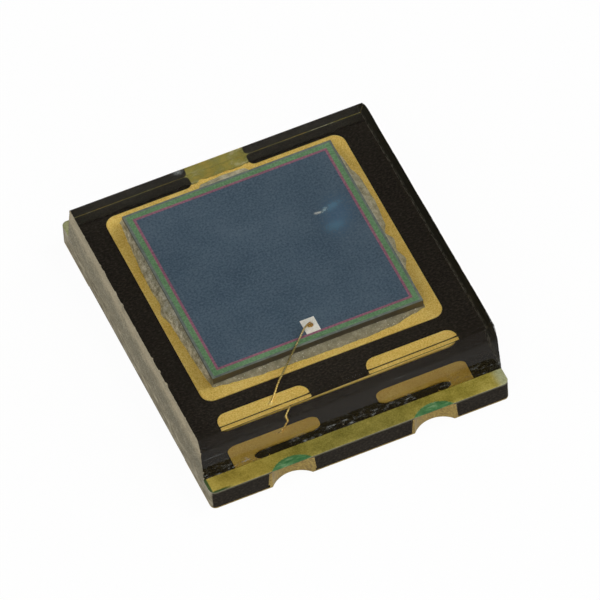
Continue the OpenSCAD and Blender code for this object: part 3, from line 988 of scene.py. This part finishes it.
# Studio: the floor and the lamps in metres, the room, and the camera that was fitted to the photo, whose
# angles are in radians, its distance in millimetres and its focal length and centre in pixels
FLOOR_HALF, FLOOR_DROP, FLOOR_GLOW = 0.2, 0.000002, 0.95
LAMP_SIZE, KEY_PLACE, FILL_PLACE = 0.12, (-0.12, -0.16, 0.2), (0.19, 0.0, 0.19)
ROOM_LIGHT, DARK_START, DARK_FULL = 0.8, 0.5, 0.86
MIRRORED_VIEW = (0.2175, 0.5833, 0.7827)
AZIMUTH, ELEVATION, ROLL = (math.radians(a) for a in (20.4485, 51.5128, -4.1778))
DISTANCE, FOCAL, CENTRE_U, CENTRE_V = 130.7692, 9983.6546, 282.8157, 293.7868
PIXELS, SENSOR, CENTRE_Z = 600, 36, 0.5


def floor():
    """A pale floor just below the part, that glows where it is seen and is clear from below."""
    mesh = bpy.data.meshes.new("floor")
    corners = [(x * FLOOR_HALF, y * FLOOR_HALF, 0) for x, y in ((-1, -1), (1, -1), (1, 1), (-1, 1))]
    mesh.from_pydata(corners, [], [(0, 1, 2, 3)])
    obj = bpy.data.objects.new("floor", mesh)
    obj.location.z = -FLOOR_DROP
    bpy.context.scene.collection.objects.link(obj)
    look = Look("pale_floor", Roughness=0.9)
    tone = look.shades(look.noise(30.0), (0.3, 243, 243, 242), (0.7, 248, 248, 247))
    look.feed(tone, "Base Color")
    path = look.node("ShaderNodeLightPath")
    seen = look.math("MAXIMUM", path.outputs["Is Glossy Ray"], path.outputs["Is Transmission Ray"])
    seen = look.math("MAXIMUM", path.outputs["Is Camera Ray"], seen)
    glow = look.node("ShaderNodeEmission")
    lit = look.either(look.times(seen, FLOOR_GLOW), look.shader.outputs[0], glow.outputs[0])
    below = look.node("ShaderNodeBsdfTransparent")
    back = look.node("ShaderNodeNewGeometry").outputs["Backfacing"]
    look.link(look.either(back, lit, below.outputs[0]), look.output.inputs["Surface"])
    dress(obj, look.mat)


def world():
    """A bright room with a dark patch where the flat top mirrors it; plain white where it is looked at."""
    made = bpy.data.worlds.new("studio")
    bpy.context.scene.world = made
    made.use_nodes = True
    tree = made.node_tree
    add, join = tree.nodes.new, tree.links.new
    room = tree.nodes["Background"]
    where = add("ShaderNodeTexCoord")
    dot = add("ShaderNodeVectorMath")
    dot.operation = "DOT_PRODUCT"
    dot.inputs[1].default_value = MIRRORED_VIEW
    join(where.outputs["Generated"], dot.inputs[0])
    ramp = add("ShaderNodeValToRGB")
    bright, dark = ramp.color_ramp.elements
    bright.position, bright.color = DARK_START, (1.0, 1.0, 0.99, 1.0)
    dark.position, dark.color = DARK_FULL, (0.05, 0.05, 0.05, 1.0)
    join(dot.outputs["Value"], ramp.inputs[0])
    join(ramp.outputs["Color"], room.inputs["Color"])
    room.inputs["Strength"].default_value = ROOM_LIGHT
    white = add("ShaderNodeBackground")
    white.inputs["Color"].default_value = (1.0, 1.0, 1.0, 1.0)
    path = add("ShaderNodeLightPath")
    mix = add("ShaderNodeMixShader")
    join(path.outputs["Is Camera Ray"], mix.inputs[0])
    join(room.outputs[0], mix.inputs[1])
    join(white.outputs[0], mix.inputs[2])
    join(mix.outputs[0], tree.nodes["World Output"].inputs["Surface"])


def lamp(name, place, power):
    """A square lamp that shines on the origin."""
    data = bpy.data.lights.new(name, "AREA")
    data.energy = power
    data.size = LAMP_SIZE
    obj = bpy.data.objects.new(name, data)
    obj.location = place
    obj.rotation_euler = (-Vector(place)).to_track_quat("-Z", "Y").to_euler()
    bpy.context.scene.collection.objects.link(obj)


def camera():
    """The photo's camera, aimed at what lies in the middle of the picture."""
    ahead = Vector((math.cos(ELEVATION) * math.sin(AZIMUTH), math.cos(ELEVATION) * math.cos(AZIMUTH),
                    -math.sin(ELEVATION)))
    level = Vector((math.cos(AZIMUTH), -math.sin(AZIMUTH), 0))
    over = level.cross(ahead)
    right = level * math.cos(ROLL) + over * math.sin(ROLL)
    up = over * math.cos(ROLL) - level * math.sin(ROLL)
    centre = Vector((0, 0, CENTRE_Z))
    eye = centre - ahead * DISTANCE
    pixel = DISTANCE / FOCAL
    aim = centre + right * ((PIXELS / 2 - CENTRE_U) * pixel) - up * ((PIXELS / 2 - CENTRE_V) * pixel)
    look = (aim - eye).normalized()
    side = look.cross(up).normalized()
    data = bpy.data.cameras.new("camera")
    data.sensor_width = SENSOR
    data.lens = SENSOR * FOCAL / PIXELS
    data.clip_start, data.clip_end = 0.01, 10
    obj = bpy.data.objects.new("camera", data)
    turn = Matrix((side, side.cross(look), -look)).transposed()
    obj.matrix_world = Matrix.Translation(eye * MM) @ turn.to_4x4()
    bpy.context.scene.collection.objects.link(obj)
    bpy.context.scene.camera = obj


floor()
world()
lamp("key", KEY_PLACE, 0.26)
lamp("fill", FILL_PLACE, 0.215)
camera()
bpy.context.scene.view_settings.view_transform = "Standard"
